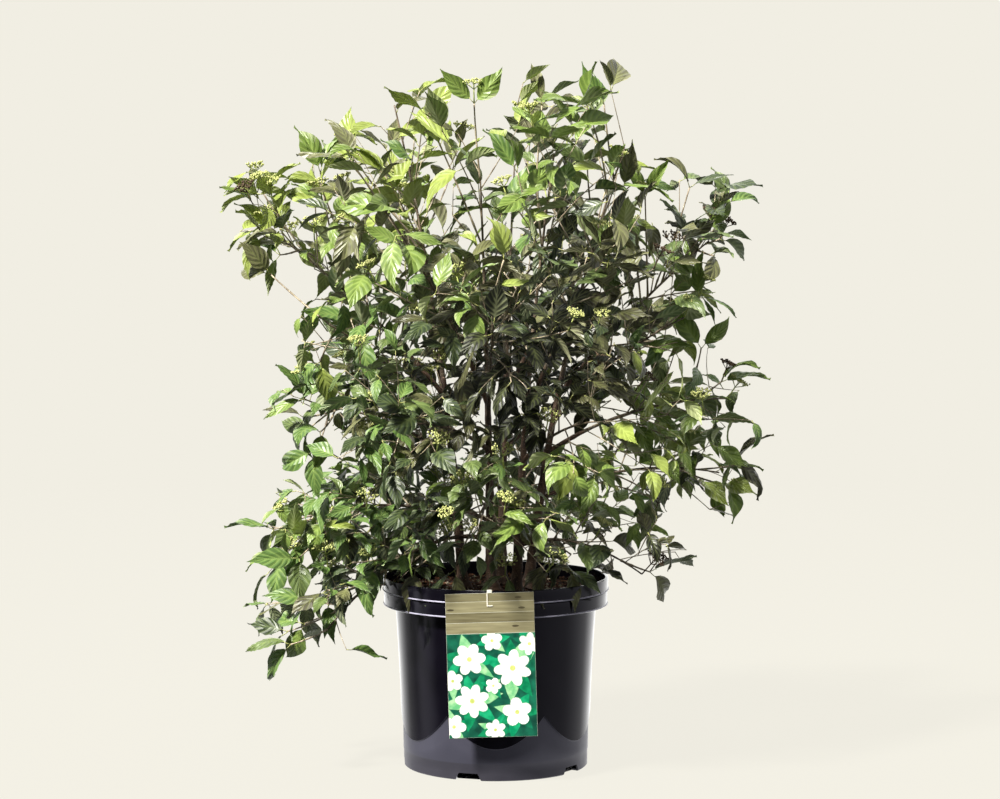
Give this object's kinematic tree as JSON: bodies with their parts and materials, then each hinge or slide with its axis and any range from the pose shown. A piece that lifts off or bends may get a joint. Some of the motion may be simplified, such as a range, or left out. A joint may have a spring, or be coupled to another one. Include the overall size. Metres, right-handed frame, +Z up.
{
  "type": "potted viburnum shrub",
  "caption": "Bushy flowering shrub with arching stems, toothed oval leaves and flat flower-bud heads, in a round black nursery pot with a hanging plant label.",
  "frame": {"origin": "centre of the pot's flat underside", "axes": "+Z up through the middle of the pot to the top of the crown, -Y towards the front of the pot, where the label hangs, +X to the right seen from the front"},
  "size_m": [0.7163, 0.5876, 0.8776],
  "materials": {
    "pot": "smooth glossy black moulded plastic with shallow flutes and a double-banded rim",
    "soil": "moist, coarse red-brown peat and bark",
    "label": "thin glossy printed card: wood-brown header over a green picture with white blossom",
    "bark": "thin reddish-brown bark with pale lenticels",
    "foliage": "pleated, slightly glossy green leaves with paler undersides"
  },
  "bodies": {
    "root": {"pot": "pot", "soil": "soil", "label": "label", "stem_back": "bark", "stem_front": "bark", "stem_left": "bark", "stem_mid": "bark", "stem_right": "bark", "bough_low_back": "bark", "bough_low_back_left": "bark", "bough_low_front": "bark", "bough_low_left": "bark", "bough_low_right": "bark", "bough_mid_back_left": "bark", "bough_mid_back_right": "bark", "bough_mid_front_left": "bark", "bough_mid_front_right": "bark", "bough_mid_left": "bark", "bough_mid_right": "bark", "bough_shoulder_back": "bark", "bough_shoulder_front": "bark", "bough_shoulder_left": "bark", "bough_shoulder_right": "bark", "bough_upper_back_left": "bark", "bough_upper_back_right": "bark", "bough_upper_front_left": "bark", "bough_upper_front_right": "bark", "bough_upper_left": "bark", "bough_upper_right": "bark", "bough_weeping_left": "bark", "bough_weeping_right": "bark", "leaves_back": "foliage", "leaves_front": "foliage", "leaves_left": "foliage", "leaves_low_back": "foliage", "leaves_low_back_left": "foliage", "leaves_low_front": "foliage", "leaves_low_left": "foliage", "leaves_low_right": "foliage", "leaves_mid": "foliage", "leaves_mid_back_left": "foliage", "leaves_mid_back_right": "foliage", "leaves_mid_front_left": "foliage", "leaves_mid_front_right": "foliage", "leaves_mid_left": "foliage", "leaves_mid_right": "foliage", "leaves_right": "foliage", "leaves_shoulder_back": "foliage", "leaves_shoulder_front": "foliage", "leaves_shoulder_left": "foliage", "leaves_shoulder_right": "foliage", "leaves_upper_back_left": "foliage", "leaves_upper_back_right": "foliage", "leaves_upper_front_left": "foliage", "leaves_upper_front_right": "foliage", "leaves_upper_left": "foliage", "leaves_upper_right": "foliage", "leaves_weeping_left": "foliage", "leaves_weeping_right": "foliage"}
  },
  "joints": []
}
